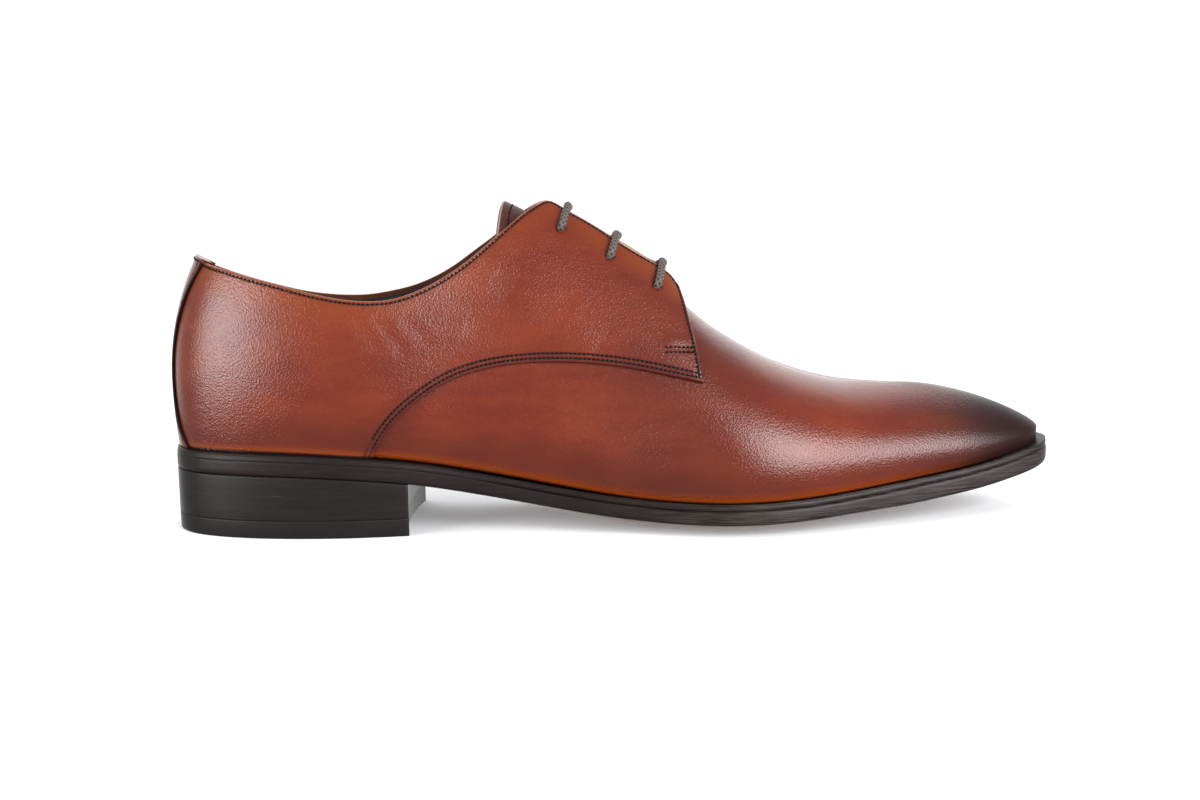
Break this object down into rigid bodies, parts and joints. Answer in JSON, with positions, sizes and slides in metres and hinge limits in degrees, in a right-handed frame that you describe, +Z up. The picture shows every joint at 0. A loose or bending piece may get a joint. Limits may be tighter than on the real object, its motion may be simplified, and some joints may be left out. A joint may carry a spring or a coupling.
{
  "type": "derby shoe",
  "caption": "Leather derby shoe with open lacing, plain vamp, stacked heel and thin welted sole, right foot, size for an adult.",
  "frame": {"origin": "on the floor under the middle of the heel, on the heel's long axis", "axes": "+X from heel to toe, +Y to the inner side of the foot, -Y to the outer side, +Z up"},
  "size_m": [0.3077, 0.0988, 0.1127],
  "materials": {
    "upper_leather": "burnished red-brown calf",
    "strip_leather": "burnished dark red-brown calf",
    "tongue_leather": "satin dark red-brown calf",
    "sole_edge": "waxed dark brown edge",
    "welt": "waxed dark brown edge",
    "heel_layers": "waxed stacked layers",
    "top_piece": "matt black",
    "insole_leather": "matt black",
    "lace_cord": "waxed round braid"
  },
  "bodies": {
    "root": {"outsole": "sole_edge", "midsole": "welt", "heel_stack": "heel_layers", "heel_top_piece": "top_piece", "upper": "upper_leather", "quarter_lateral": "upper_leather", "quarter_medial": "upper_leather", "back_strip": "strip_leather", "tongue": "tongue_leather", "insole": "insole_leather", "lace": "lace_cord"}
  },
  "joints": []
}
